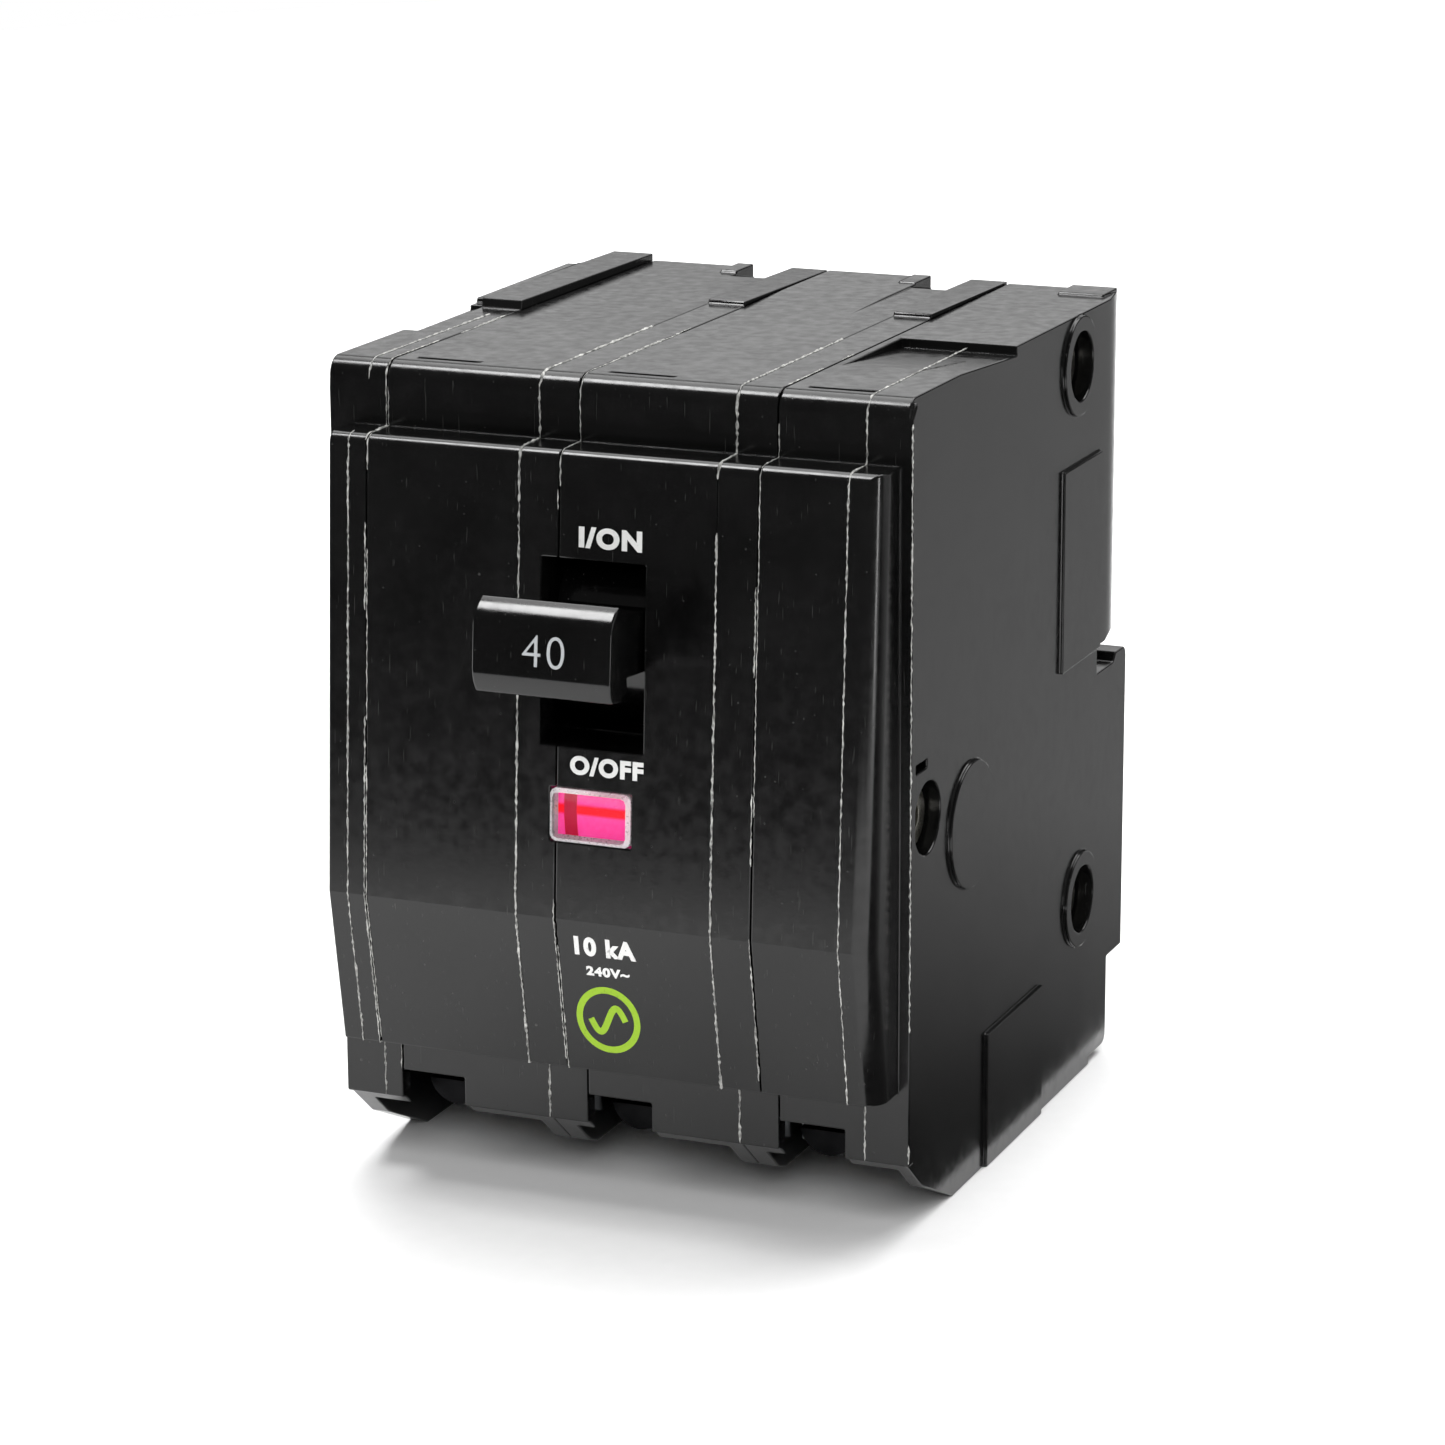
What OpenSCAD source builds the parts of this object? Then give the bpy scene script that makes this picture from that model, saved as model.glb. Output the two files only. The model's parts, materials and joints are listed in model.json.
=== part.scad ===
/* [Case] */
// Overall width, three poles side by side
case_w = 57.15; // [56.5:0.05:58]
// Depth from the front band to the lower back
case_d = 63.5; // [63:0.1:65]
// Depth from the front band to the upper back, where the jaws are
upper_d = 61.5; // [61.2:0.1:61.8]
// Height of the case above the lower edge of the front band
band_h = 71.1; // [70.8:0.1:71.4]
// How far the outer side walls reach below the front band
foot_drop = 7.4; // [7:0.1:8]
// How far the inner walls reach below the front band
inner_drop = 4.2; // [4:0.1:4.6]
// Wall thickness of the moulded shells
wall = 1.8; // [1.7:0.1:2]

/* [Poles] */
// Pole pitch of the bus stabs
pole_pitch = 19.05; // [19.05]
// Width of the first cover shell
first_cover_w = 5.95; // [5.9:0.05:6]
// Width of the other two cover shells
cover_w = 4; // [3.9:0.05:4.1]
// Pitch of the shells across the case
shell_pitch = 19.25; // [19.2:0.05:19.3]
// Open joint between each cover and its base
seam_gap = 0.12; // [0.08:0.01:0.2]

/* [Nose] */
// Reach of the nose at its upper edge
nose_top_reach = 4.45; // [4.3:0.05:4.6]
// Reach of the nose at its crest
nose_crest_reach = 6.9; // [6.8:0.05:7]
// Height of the nose crest
nose_crest_z = 22.1; // [22:0.1:22.4]
// Wall thickness of the nose
nose_wall = 1.6; // [1.5:0.1:1.7]

/* [Handle] */
// Width of the handle cap
cap_w = 13.4; // [13:0.1:13.6]
// Width of the handle slot
slot_w = 10.15; // [10:0.05:10.3]
// Radius of the drum that closes the slot from behind
drum_r = 9; // [8.8:0.1:9]
// Radius of the handle pin
handle_pin_r = 1.2; // [1.1:0.05:1.3]

/* [Terminals] */
// Radius of the clamp screw
screw_r = 2.4; // [2.3:0.05:2.4]
// Width of the notch in front of each clamp screw
notch_w = 6.4; // [6:0.1:6.6]
// Thickness of the line jaw metal
jaw_t = 1.0; // [0.9:0.05:1.1]

/* [Hidden] */
$fn = 48;
run_gap = 0.05;
poles = [1, 2, 3];

// Pole centres, and the shells' limits across the case
function pole_x(k) = case_w / 2 + (k - 2) * pole_pitch;
function base_x0(k) = first_cover_w + (k - 1) * shell_pitch;
function cover_x0(k) = k == 1 ? 0 : base_x0(k) - cover_w;
function base_x1(k) = k == 3 ? case_w : cover_x0(k + 1);
function is_outer(k) = k == 3;

// The whole model stands centred on its box
handle_tip = 16.65;
origin_y = (case_d - handle_tip) / 2;
module place() { translate([-case_w / 2, -origin_y, foot_drop]) children(); }

// Extrudes an outline drawn in depth and height across the case from x0 to x1
module across(x0, x1) {
    translate([x0, 0, 0]) rotate([90, 0, 90]) linear_extrude(height = x1 - x0) children();
}
module rod(x0, x1, y, z, r) {
    translate([x0, y, z]) rotate([0, 90, 0]) cylinder(h = x1 - x0, r = r);
}
module block(lo, hi) { translate(lo) cube(hi - lo); }
function arc(cy, cz, r, a0, a1, steps = 8) =
    [for (i = [0:steps]) let (a = a0 + (a1 - a0) * i / steps) [cy + r * cos(a), cz + r * sin(a)]];

// Nose faces: the upper one leans out going down, the lower one slopes back
nose_top_z = 65.1;
nose_low_z = 6.95;
nose_low_reach = 4.4;
nose_round = 1.1;
nose_lean = atan((nose_crest_reach - nose_top_reach) / (64 - nose_crest_z));
function nose_y(z) = -nose_top_reach - (64 - z) * tan(nose_lean);
nose_outline = concat(
    [[1, nose_low_z], [-nose_low_reach, nose_low_z], [-nose_crest_reach, nose_crest_z]],
    arc(nose_y(64) + nose_round, nose_top_z - nose_round, nose_round, 180 + nose_lean, 90),
    [[1, nose_top_z]]);

// Body outline in depth and height; drop is how far its foot reaches down
band_round = 1.8;
// The top face falls by this much towards the back
top_fall = 0.4;
hook_z0 = 33.4;
hook_z1 = 36.2;
hook_y = 54;
heel_z = 2.5;
heel_y = 58.8;
function body_outline(drop) = concat(
    [[0, 0]],
    arc(band_round, band_h - band_round, band_round, 180, 90),
    [[upper_d, band_h - top_fall], [upper_d, hook_z1], [hook_y, hook_z1], [hook_y, hook_z0], [59.4, hook_z0],
     [60.2, hook_z0 + 0.8]],
    arc(case_d - 0.9, hook_z0 - 0.1, 0.9, 90, 0, 5),
    [[case_d, heel_z], [heel_y, heel_z]],
    arc(heel_y - 1.2, 1.2 - min(6.6, drop), 1.2, 0, -90, 5),
    [[53.5, -min(6.6, drop)], [53.5, -drop]],
    drop > 6 ? [[13, -drop], [10.6, -6.3]] : [[6.5, -drop]],
    [[4.8, -3.6], [0.7, -0.2]]);

// Space inside the shells for the mechanism
roof_z = 9.4;
mech_outline = [
    [nose_y(roof_z) + 4.1, roof_z], [nose_y(nose_crest_z) + nose_wall, nose_crest_z],
    [nose_y(nose_top_z) + nose_wall, nose_top_z - wall], [wall, nose_top_z - wall],
    [wall, band_h - wall], [upper_d - wall, band_h - top_fall - wall], [upper_d - wall, hook_z1 + wall],
    [hook_y - wall, hook_z1 + wall], [hook_y - wall, hook_z0 - wall],
    [case_d - wall, hook_z0 - wall], [case_d - wall, heel_z + wall], [heel_y - wall, heel_z + wall],
    [heel_y - wall, wall - inner_drop], [23.4, wall - inner_drop], [23.4, roof_z]];
// Space around the wire lug, open at the bottom
lug_space_y = 22;
lug_space_z = 8.2;
// Top of the notch in front of each clamp screw
notch_top = 2.8;

// Rivet centres in depth and height
rivet_at = [[46.9, 65.8], [5.4, 31.7], [49.4, 11.4]];
rivet_r = 1.7;
rivet_bore_r = 1.8;
rivet_sink_r = 3.4;
rivet_sink = 2.4;
side_sink = 0.4;
boss_r = 3.2;

// Axes that run across the case
handle_axis = [5.5, 46.8];
bar_axis = [30, 46];
bar_r = 3.4;
trip_axis = [23.5, 40];
trip_half = 2;
slot_z = [38.2, 55.4];
window_w = 7.95;
window_h = 4.95;
window_z = 31.85;

module mech_space(x0, x1) { across(x0, x1) polygon(mech_outline); }
module lug_space(x0, x1) {
    block([x0, wall, -20], [x1, lug_space_y, lug_space_z]);
}

// Openings that a cover and its base share
module shared_cuts(k) {
    x = pole_x(k);
    block([base_x0(k), -1, -3], [base_x0(k) + notch_w, wall + 1, notch_top]);
    block([x - 3.1, lug_space_y - 1, lug_z[1] - 0.1], [x + 3.1, 24, lug_z[1] + strap_t + 0.1]);
    if (k == 2) {
        block([x - slot_w / 2, -9, slot_z[0]], [x + slot_w / 2, 0, slot_z[1]]);
        on_nose(window_z) block([x - window_w / 2 - run_gap, -2, -window_h / 2 - run_gap],
                                [x + window_w / 2 + run_gap, 3, window_h / 2 + run_gap]);
    }
}
module on_nose(z) { translate([0, nose_y(z), z]) rotate([-nose_lean, 0, 0]) children(); }

// The nose between x0 and x1, with its rounded right edge where it ends
module nose(x0, x1) { across(x0, x1) polygon(nose_outline); }
nose_x0 = 2.1;
nose_x1 = 56;
nose_corner = 2;
module nose_right_end(x0) {
    low_lean = atan((nose_crest_reach - nose_low_reach) / (nose_crest_z - nose_low_z));
    intersection() {
        nose(x0, nose_x1);
        union() {
            intersection() {
                block([x0 - 1, -20, nose_crest_z], [nose_x1 + 1, 5, 70]);
                translate([0, -nose_crest_reach, nose_crest_z]) rotate([-nose_lean, 0, 0])
                    translate([0, 0, -5]) corner_post(x0, 60);
            }
            intersection() {
                block([x0 - 1, -20, 0], [nose_x1 + 1, 5, nose_crest_z]);
                translate([0, -nose_crest_reach, nose_crest_z]) rotate([low_lean, 0, 0])
                    translate([0, 0, -25]) corner_post(x0, 30);
            }
        }
    }
}
module corner_post(x0, h) {
    linear_extrude(height = h) polygon(concat(
        [[x0 - 1, 0]], arc(nose_x1 - nose_corner, nose_corner, nose_corner, -90, 0), [[nose_x1, 14], [x0 - 1, 14]]));
}

// Raised rib along the top of a cover, from a small step to the back
module top_rib(x0, x1, y0, rise) {
    across(x0, x1) polygon([[y0, band_h - 1], [y0 + 0.5, band_h + rise], [upper_d, band_h - top_fall + rise],
        [upper_d, band_h - 1]]);
}
first_rib_rise = 0.7;
low_rib_rise = 0.18;

// Ledge under the handle slot that hides the works below it from view
module slot_sill(x0) {
    block([x0, -6, slot_z[0] - 1.4], [pole_x(2) + slot_w / 2 + 1, 1.8, slot_z[0] + 0.2]);
}

// Height of the falling top face at a depth
function top_z(y) = band_h - top_fall * (y - band_round) / (upper_d - band_round);
rear_ramp_w = 4.2;

module rivet_bores(x0, x1) { for (p = rivet_at) rod(x0, x1, p[0], p[1], rivet_bore_r); }
// Wall openings that let the crossbar and the trip bar pass from pole to pole
module bar_holes(x0, x1) {
    rod(x0, x1, bar_axis[0], bar_axis[1], 4.2);
    rod(x0, x1, trip_axis[0], trip_axis[1], 3);
}

module cover(k) {
    x0 = cover_x0(k);
    x1 = base_x0(k) - seam_gap;
    inner = x0 + 2;
    outer = k == 1;
    color("#141414") difference() {
        union() {
            across(x0, x1) polygon(body_outline(inner_drop));
            if (outer) across(x0, inner) polygon(body_outline(foot_drop));
            nose(outer ? nose_x0 : x0, x1);
            if (outer) top_rib(x0 + 1.4, x1, 29, first_rib_rise);
            else top_rib(x0, x1, 39, low_rib_rise);
            if (outer) across(x0, x0 + 2) polygon([[31, 70], [31.6, 71.4], [53, 71.4], [54.5, 70]]);
        }
        difference() {
            union() { mech_space(inner, x1 + 1); lug_space(inner, x1 + 1); }
            for (p = rivet_at) rod(inner - 1, x1 + 1, p[0], p[1], boss_r);
            if (outer) bearing_bosses(inner - 1, inner + 1.9);
            if (k == 2) slot_sill(inner - 1);
        }
        shared_cuts(k);
        rivet_bores(x0 - 1, x1 + 1);
        if (outer) {
            side_face_sinks(-1, rivet_sink);
            bearing_bores(x0 + 1.1, inner + 3);
            block([-1, 15.4, 70.4], [1.6, 30, 73]);
        } else bar_holes(x0 - 1, inner + 1);
        if (k == 2) rod(x0 + 1, inner + 2, handle_axis[0], handle_axis[1], handle_pin_r);
    }
}
module side_face_sinks(x0, x1) { for (p = rivet_at) rod(x0, x1, p[0], p[1], rivet_sink_r); }
module bearing_bosses(x0, x1) {
    rod(x0, x1, bar_axis[0], bar_axis[1], 3);
    rod(x0, x1, trip_axis[0], trip_axis[1], 2.8);
}
module bearing_bores(x0, x1) {
    rod(x0, x1, bar_axis[0], bar_axis[1], 1.5 + run_gap);
    rod(x0, x1, trip_axis[0], trip_axis[1], 1.2 + run_gap);
}

module base(k) {
    x0 = base_x0(k);
    x1 = base_x1(k);
    inner = x1 - wall;
    outer = is_outer(k);
    face = outer ? x1 - side_sink : x1;
    color("#161616") difference() {
        union() {
            across(x0, face) polygon(body_outline(inner_drop));
            if (outer) {
                across(inner, face) polygon(body_outline(foot_drop));
                across(face, x1) polygon([[0, 0], [0, band_h - 1.8], [1.2, band_h - 0.4], [1.2, 0]]);
                nose_right_end(x0);
                side_bosses(face, x1);
                side_pads(face, x1);
            } else nose(x0, x1);
            // Rear of the top face: a slight rise, and a small tab at its right end
            if (k == 2) across(x0, x1 - rear_ramp_w)
                polygon([[39, band_h - 1], [39, top_z(39)], [49, top_z(49) + 0.15], [upper_d, top_z(upper_d) + 0.15],
                    [upper_d, 60]]);
            across(x1 - 6, x1 - (outer ? 1.3 : rear_ramp_w))
                polygon([[56, 69], [57, top_z(57) + 0.3], [upper_d, top_z(upper_d) + 0.3], [upper_d, 69]]);
        }
        difference() {
            union() { mech_space(x0 - 1, inner); lug_space(x0 - 1, inner); }
            base_bosses(k, x0, inner);
        }
        shared_cuts(k);
        rivet_bores(x0 - 1, x1 + 1);
        // Open back around the line jaw
        block([pole_x(k) - 3.3, upper_d - 3, 59], [pole_x(k) + 3.6, upper_d + 1, band_h - top_fall - wall]);
        // Narrow slot in the top face behind the front edge
        block([x0 + 1.9, 2.3, band_h - 1.1], [x0 + 8.2, 3.1, band_h + 1]);
        if (outer) {
            side_face_sinks(x1 - rivet_sink, x1 + 1);
            bearing_bores(inner - 4, x1 - 1.1);
            block([face - 1.1, 2.2, 36.5], [x1 + 1, 5.2, 37.3]);
            // Ramp that runs down to a step in the top face
            across(x0 + 0.9, x1 + 1) polygon([[12, band_h + 0.01], [28.7, band_h - 1.1], [28.7, 75], [12, 75]]);
            // Slanted rear edge of the upper side wall
            translate([0, 0, hook_z1]) linear_extrude(height = 40)
                polygon([[x1 + 0.5, 54.5], [x1, 54.5], [x1 - 1.35, upper_d + 0.01], [x1 + 0.5, upper_d + 0.01]]);
        } else {
            bar_holes(inner - 1, x1 + 1);
            // Short ramp down to the rear, beside the next cover
            across(x1 - rear_ramp_w, x1 + 1)
                polygon([[55.2, top_z(55.2) + 0.01], [upper_d + 1, band_h - 1.7], [upper_d + 1, 75], [55.2, 75]]);
        }
        if (k == 2) rod(33, x1 - 0.8, handle_axis[0], handle_axis[1], handle_pin_r);
    }
}
// Posts on the base wall that carry the rivets, the handle pin and the bars
module base_bosses(k, x0, inner) {
    for (i = [0:2]) {
        p = rivet_at[i];
        start = (k == 2 && i == 1) ? pole_x(2) + 3.2 : x0 - 2;
        rod(start, inner + 1, p[0], p[1], boss_r);
        if (is_outer(k)) rod(inner - 1.6, inner + 1, p[0], p[1], rivet_sink_r + 1.2);
    }
    if (is_outer(k)) bearing_bosses(inner - 2.2, inner + 1);
    if (k == 2) rod(pole_x(2) + 5.2, inner + 1, handle_axis[0], handle_axis[1], 2.6);
    if (k == 2) slot_sill(x0 - 1);
}
module side_bosses(x0, x1) {
    rod(x0 - 0.2, x1, 16.9, 28, 6.1);
    for (i = [0, 2]) rod(x0 - 0.2, x1, rivet_at[i][0], rivet_at[i][1], 4.9);
}
module side_pads(x0, x1) {
    block([x0 - 0.2, 42.2, hook_z1], [x1, 53.8, 56.2]);
    block([x0 - 0.2, 21.4, -foot_drop], [x1, 37.6, 6]);
}

// Line jaw: two fingers that grip the bus stab, and the tongue under the fixed contact
jaw_half = 3;
jaw_z = [60, 68.6];
finger_z = 62;
jaw_back = 53.2;
arm_open = 16;
arm_closed = 30.6;
contact_r = 1.6;
contact_h = 1;
contact_reach = 15;
arm_half_t = 1;
arm_hub_r = 2.6;
arm_pin_r = 1.2;
tongue_gap = arm_half_t + 2 * contact_h + 0.03;
// Turns a shape into the frame of the closed contact arm: local Z along the arm
module closed_frame(k) {
    translate([pole_x(k), bar_axis[0], bar_axis[1]]) rotate([-arm_closed, 0, 0]) children();
}
// The same for the arm as it stands tripped
module tripped_frame(k) {
    translate([pole_x(k), bar_axis[0], bar_axis[1]]) rotate([arm_open - arm_closed, 0, 0]) children();
}
module line_jaw(k) {
    x = pole_x(k);
    color("#c9c9c4") {
        closed_frame(k) block([-2, tongue_gap, 11], [2, tongue_gap + 1.2, 19]);
        block([x - 2, 41.8, jaw_z[0]], [x + 2, jaw_back + jaw_t, jaw_z[0] + 1.2]);
        block([x - jaw_half, jaw_back, jaw_z[0]], [x + jaw_half, jaw_back + jaw_t, jaw_z[1]]);
        for (s = [-1, 1]) translate([x, 0, 0]) scale([s, 1, 1]) translate([0, 0, finger_z])
            linear_extrude(height = jaw_z[1] - finger_z) polygon([[jaw_half, jaw_back], [jaw_half, 57.1], [1.9, 59.9], [2.6, 62.3],
                [1.7, 62.3], [0.8, 59.9], [jaw_half - jaw_t, 56.7], [jaw_half - jaw_t, jaw_back]]);
    }
}
module fixed_contacts() {
    color("#d9d9d6") for (k = poles) closed_frame(k)
        translate([0, arm_half_t + contact_h + 0.03, contact_reach]) rotate([-90, 0, 0])
            cylinder(h = contact_h, r = contact_r);
}
module moving_contacts() {
    color("#d9d9d6") for (k = poles) tripped_frame(k)
        translate([0, arm_half_t, contact_reach]) rotate([-90, 0, 0]) cylinder(h = contact_h, r = contact_r);
}
module contact_arm(k) {
    color("#b87333") tripped_frame(k) difference() {
        union() {
            block([-1.2, -arm_half_t, -4.6], [1.2, arm_half_t, 17]);
            block([-1.9, -arm_half_t, 12.5], [1.9, arm_half_t, 17]);
            translate([-1.2, 0, 0]) rotate([0, 90, 0]) cylinder(h = 2.4, r = arm_hub_r);
        }
        translate([-3, 0, 0]) rotate([0, 90, 0]) cylinder(h = 6, r = arm_pin_r);
    }
}
// Bar that carries the three contact arms through the walls between the poles
module crossbar() {
    color("#2b2b30") difference() {
        union() {
            rod(4.2, 52.6, bar_axis[0], bar_axis[1], bar_r);
            rod(1.5, 55.6, bar_axis[0], bar_axis[1], 1.5);
            block([pole_x(2) + 1.6, 25.4, 45], [pole_x(2) + 2.6, 27.6, 48]);
            block([pole_x(2) - 2.6, 25.4, 45], [pole_x(2) - 1.6, 27.6, 48]);
        }
        for (k = poles) {
            tripped_frame(k) block([-1.2, -arm_half_t, -9], [1.2, arm_half_t, 9]);
            rod(pole_x(k) - 1.2, pole_x(k) + 1.2, bar_axis[0], bar_axis[1], arm_hub_r);
        }
    }
    color("#2b2b30") for (k = poles) rod(pole_x(k) - 1.2, pole_x(k) + 1.2, bar_axis[0], bar_axis[1], arm_pin_r);
}

// Splitter plates fanned around the path of the contact
module arc_plates(k) {
    color("#8d9096") for (a = [-6, 2, 10, 18])
        translate([pole_x(k), bar_axis[0], bar_axis[1]]) rotate([-a, 0, 0]) {
            block([-4.6, -0.45, 18], [4.6, 0.45, 21.5]);
            for (s = [-1, 1]) scale([s, 1, 1]) block([2.8, -0.45, 11.5], [4.6, 0.45, 18.2]);
        }
}

// Thermal and magnetic trip of one pole
module load_strap(k) {
    x = pole_x(k);
    color("#b87333") {
        block([x - 3, 12, lug_z[1]], [x + 3, 34.5, lug_z[1] + strap_t]);
        block([x - 3, 34.5 - strap_t, lug_z[1]], [x + 3, 34.5, 16]);
    }
}
module bimetal(k) {
    x = pole_x(k);
    color("#a39a86") difference() {
        block([x - 3, 32.1, 8.4], [x + 3, 33.3, 30]);
        translate([x, 31, 12]) rotate([-90, 0, 0]) cylinder(h = 4, r = 0.9);
    }
}
module magnet_yoke(k) {
    x = pole_x(k);
    color("#777b80") {
        block([x - 4.7, 34.5, 14], [x + 4.7, 35.5, 24]);
        for (s = [-1, 1]) translate([x, 0, 0]) scale([s, 1, 1]) block([3.7, 30.2, 14], [4.7, 35, 24]);
    }
}
module armature(k) {
    x = pole_x(k);
    color("#70757b") difference() {
        block([x - 3.5, trip_axis[0] + trip_half, 12], [x + 3.5, trip_axis[0] + trip_half + 1.2, 40]);
        block([x - 1.6, 20, 26], [x + 1.6, 30, 34]);
    }
}

// Flexible lead from the bimetal to the heel of the contact arm
braid_route = [[34.3, 26], [34.3, 27.5], [34.6, 29.5], [35.4, 31.5], [36.4, 33.6], [37, 35.8], [36.8, 38],
    [35.7, 39.6], [34, 40.6], [32.4, 40.9], [31, 41]];
braid_r = 0.95;
module braid(k) {
    n = len(braid_route);
    sides = 8;
    function heading(i) = let (d = braid_route[min(i + 1, n - 1)] - braid_route[max(i - 1, 0)]) d / norm(d);
    pts = [for (i = [0:n - 1]) let (p = braid_route[i], h = heading(i)) for (j = [0:sides - 1])
        let (a = 360 * j / sides)
        [pole_x(k) + braid_r * cos(a), p[0] - h[1] * braid_r * sin(a), p[1] + h[0] * braid_r * sin(a)]];
    rings = [for (i = [0:n - 2]) for (j = [0:sides - 1]) let (a = i * sides + j, b = i * sides + (j + 1) % sides)
        [a, b, b + sides, a + sides]];
    color("#b5683c") polyhedron(pts, concat(rings, [[for (j = [sides - 1:-1:0]) j],
        [for (j = [0:sides - 1]) (n - 1) * sides + j]]));
}

// Wire terminal of one pole
lug_half = 4.6;
lug_y = [9, 21];
lug_z = [-2.2, 6.6];
screw_z = 1.3;
strap_t = 1.2;
module wire_lug(k) {
    x = pole_x(k);
    color("#b9bcc0") difference() {
        block([x - lug_half, lug_y[0], lug_z[0]], [x + lug_half, lug_y[1], lug_z[1]]);
        block([x - 3.2, lug_y[0] + 3.2, lug_z[0] - 1], [x + 3.2, lug_y[1] - 1.4, lug_z[1] + 1]);
        translate([x, lug_y[0] - 1, screw_z]) rotate([-90, 0, 0]) cylinder(h = 5, r = screw_r + run_gap);
    }
}
module clamp_plate(k) {
    x = pole_x(k);
    color("#c8b06a") block([x - 3.1, lug_y[0] + 3.35, lug_z[0] + 0.4], [x + 3.1, lug_y[0] + 4.35, lug_z[1] - 0.6]);
}
module clamp_screw(k) {
    color("#c4c6c8") translate([pole_x(k), 0, screw_z]) rotate([-90, 0, 0]) difference() {
        union() {
            translate([0, 0, 5.4]) cylinder(h = lug_y[0] + 3.33 - 5.4, r = screw_r);
            translate([0, 0, 4.2]) cylinder(h = 1.3, r = 2.9);
        }
        block([-3.5, -0.45, 4], [3.5, 0.45, 5.3]);
    }
}

// Handle: cap, stem, drum and hub in one moulding
module handle() {
    x = pole_x(2);
    y = handle_axis[0];
    z = handle_axis[1];
    color("#101010") difference() {
        union() {
            across(x - cap_w / 2, x + cap_w / 2) polygon([[-14.3, 53.85], [-15.1, 53.35], [-15.8, 52.75],
                [-16.2, 52.1], [-16.3, 51.5], [-handle_tip, 47.5], [-16.5, 46.5], [-15.9, 45.4], [-14.3, 45.2],
                [-12.8, 46], [-12.8, 53.2]]);
            across(x - 4.8, x + 4.8) polygon([[-13, 46.3], [-13, 52.4], [-2, 50.6], [-2, 45.2]]);
            intersection() {
                rod(x - 4.8, x + 4.8, y, z, drum_r);
                block([0, y - 20, z - 20], [60, y + 1.5, z + 20]);
            }
            rod(x - 4.8, x + 4.8, y, z, 3);
            for (s = [-1, 1]) translate([x, 0, 0]) scale([s, 1, 1])
                block([1.6, y, z - 1.5], [2.6, y + 7.4, z + 1.5]);
        }
        rod(x - 6, x + 6, y, z, handle_pin_r + run_gap);
    }
}
module handle_pin() {
    color("#c0c2c4") rod(cover_x0(2) + 1, base_x1(2) - 0.8, handle_axis[0], handle_axis[1], handle_pin_r);
}
// Over-centre spring between the handle and the crossbar
spring_turns = 9;
module coil(r, wire, length, turns, per_turn = 12, sides = 6) {
    n = turns * per_turn;
    pts = [for (i = [0:n]) let (a = 360 * i / per_turn, h = length * i / n) for (j = [0:sides - 1])
        let (b = 360 * j / sides, q = r + wire * cos(b)) [q * cos(a), q * sin(a), h + wire * sin(b)]];
    rings = [for (i = [0:n - 1]) for (j = [0:sides - 1])
        let (a = i * sides + j, b = i * sides + (j + 1) % sides) [a, a + sides, b + sides, b]];
    polyhedron(pts, concat(rings, [[for (j = [0:sides - 1]) j], [for (j = [sides - 1:-1:0]) n * sides + j]]));
}
module toggle_spring() {
    color("#9fa3a8") translate([pole_x(2), handle_axis[0] + 6.4, 46.6]) rotate([-90, 0, 0])
        coil(1.2, 0.3, 14.6, spring_turns);
}

// Cradle that turns on the middle rivet and carries the trip flag
cradle_x = 28.2;
module cradle() {
    p = rivet_at[1];
    color("#8a8f96") difference() {
        union() {
            rod(cradle_x - 1.6, cradle_x + 1.6, p[0], p[1], 3);
            translate([cradle_x, p[0], p[1]]) rotate([-20, 0, 0]) block([-0.8, 0, -1.6], [0.8, 15, 1.6]);
            block([cradle_x - 0.8, p[0] - 8.4, p[1] - 1.5], [cradle_x + 0.8, p[0], p[1] + 1.5]);
        }
        rod(cradle_x - 3, cradle_x + 3, p[0], p[1], rivet_r + run_gap);
    }
}
flag_r = 9.6;
flag_t = 1.2;
module trip_flag() {
    p = rivet_at[1];
    color("#d01722") intersection() {
        difference() {
            rod(pole_x(2) - 4.1, pole_x(2) + 4.1, p[0], p[1], flag_r);
            rod(pole_x(2) - 5, pole_x(2) + 5, p[0], p[1], flag_r - flag_t);
        }
        block([0, p[0] - 12, p[1] - 2.7], [60, p[0], p[1] + 2.8]);
    }
}

// Trip bar that ties the three armatures together
module trip_bar() {
    y = trip_axis[0];
    z = trip_axis[1];
    color("#3a3a40") {
        block([4.2, y - trip_half, z - trip_half], [52.6, y + trip_half, z + trip_half]);
        rod(1.5, 55.6, y, z, 1.2);
        block([cradle_x - 1.2, y - trip_half, 34.6], [cradle_x + 1.2, y - trip_half + 1.4, z]);
    }
}
module trip_spring() {
    color("#9fa3a8") translate([33.5, trip_axis[0], trip_axis[1]]) rotate([0, 90, 0]) coil(3.2, 0.25, 3, 4);
}

// Clear lens over the flag, its rim bevelled
module lens() {
    x = pole_x(2);
    bevel = 0.5;
    color([0.9, 0.95, 1, 0.5]) on_nose(window_z) difference() {
        block([x - window_w / 2, -0.4, -window_h / 2], [x + window_w / 2, nose_wall - 0.3, window_h / 2]);
        for (s = [-1, 1]) {
            translate([0, -0.4, s * window_h / 2]) rotate([45, 0, 0]) translate([x, 0, 0])
                cube([window_w + 2, bevel, bevel], center = true);
            translate([x + s * window_w / 2, -0.4, 0]) rotate([0, 0, 45])
                cube([bevel, bevel, window_h + 2], center = true);
        }
    }
}

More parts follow.
